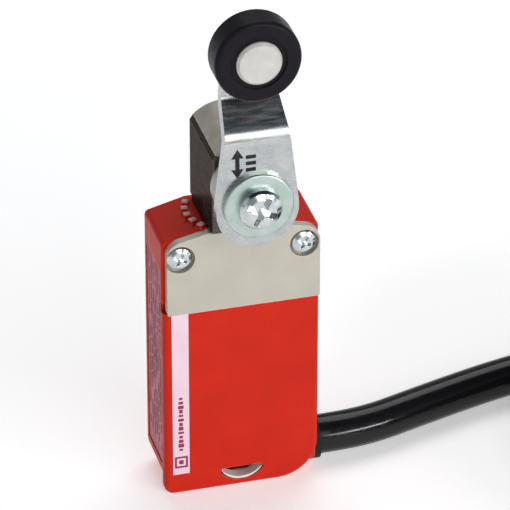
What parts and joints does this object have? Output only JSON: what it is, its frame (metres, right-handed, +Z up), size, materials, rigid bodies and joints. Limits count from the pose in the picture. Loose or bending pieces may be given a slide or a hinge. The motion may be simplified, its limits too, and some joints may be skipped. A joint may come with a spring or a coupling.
{
  "type": "limit switch",
  "caption": "Miniature metal limit switch with a side rotary head, bent steel lever, plastic roller and a moulded-in cable.",
  "frame": {"origin": "bottom centre of the switch without its cable, on the plane that its base stands on", "axes": "+Z up along the housing towards the roller, -Y the front with the cover and the lever, +X the side where the cable leaves"},
  "size_m": [0.1645, 0.0954, 0.1053],
  "materials": {
    "red_paint": "powder-coated zinc casting, satin, with fine orange peel",
    "red_cover": "painted pressed cover, satin",
    "grey_plate": "warm grey lacquered steel, satin",
    "grey_casting": "die-cast, fine blasted, dark grey-brown",
    "cap_casting": "die-cast, fine blasted surface, warm grey",
    "boss_casting": "die-cast, light satin grey",
    "zinc_steel": "zinc-plated strip, rolled grain",
    "zinc_washer": "pale green passivated zinc",
    "screw_steel": "bright zinc-plated steel",
    "shaft_steel": "ground steel",
    "bronze": "sintered bronze",
    "brass_contact": "stamped brass",
    "black_rubber": "moulded nitrile rubber",
    "roller_plastic": "black moulded thermoplastic, satin",
    "rivet_white": "off-white lacquered rivet head",
    "label_print": "pale lilac printed film",
    "side_print": "pinkish laser-marked film",
    "block_plastic": "black glass-filled polyamide",
    "clear_plastic": "clear polycarbonate",
    "white_plastic": "white acetal",
    "spring_steel": "drawn spring wire",
    "resin": "cast potting resin",
    "cable_jacket": "glossy black PVC jacket",
    "tie_nylon": "black nylon",
    "core_mixed": "insulated cores",
    "core_earth": "green and yellow insulation",
    "core_brown": "brown insulation",
    "core_blue": "blue insulation",
    "core_black": "black insulation",
    "core_grey": "grey insulation",
    "tin": "tinned copper"
  },
  "bodies": {
    "root": {"housing": "red_paint", "front_cover": "red_cover", "cover_latch": "white_plastic", "cover_gasket": "black_rubber", "front_label": "label_print", "side_label": "side_print", "head_plate": "grey_plate", "plate_screws": "screw_steel", "head": "grey_casting", "head_cap": "cap_casting", "bearing_boss": "boss_casting", "head_seal": "black_rubber", "plunger_guide": "white_plastic", "shaft_bush": "bronze", "shaft_seal": "black_rubber", "contact_base": "block_plastic", "contact_cover": "clear_plastic", "fixed_contacts": "brass_contact", "inner_cores": "core_mixed", "earth_tag": "brass_contact", "potting": "resin", "cable_gland": "black_rubber", "cable": "cable_jacket", "cable_coil": "cable_jacket", "coil_tie": "tie_nylon", "end_ferrules": "tin", "end_core_earth": "core_earth", "end_core_brown": "core_brown", "end_core_blue": "core_blue", "end_core_black": "core_black", "end_core_grey": "core_grey"},
    "lever": {"shaft": "shaft_steel", "retaining_ring": "spring_steel", "cam": "white_plastic", "cam_pin": "shaft_steel", "lever_arm": "zinc_steel", "lever_washer": "zinc_washer", "lever_screw": "screw_steel", "roller_pin": "rivet_white", "roller_washer": "zinc_steel"},
    "roller": {"roller": "roller_plastic", "roller_bush": "bronze"},
    "plunger": {"plunger": "shaft_steel", "plunger_spring": "spring_steel", "contact_carrier": "white_plastic", "bridge_contacts": "brass_contact", "bridge_springs": "spring_steel", "return_spring": "spring_steel"}
  },
  "joints": [
    {"name": "lever_swing", "type": "hinge", "parent": "root", "child": "lever", "pos_m": [0, -0.0099, 0.0682], "axis": [0, 1, 0], "range_deg": [-70, 70], "stiffness_Nm_per_rad": 0.08},
    {"name": "roller_spin", "type": "hinge", "parent": "lever", "child": "roller", "pos_m": [0, -0.00875, 0.0973], "axis": [0, 1, 0], "continuous": true},
    {"name": "plunger_slide", "type": "slide", "parent": "root", "child": "plunger", "axis": [0, 0, -1], "range_m": [0, 0.0014], "stiffness_N_per_m": 1200, "deforming": ["plunger_spring", "return_spring"]}
  ]
}
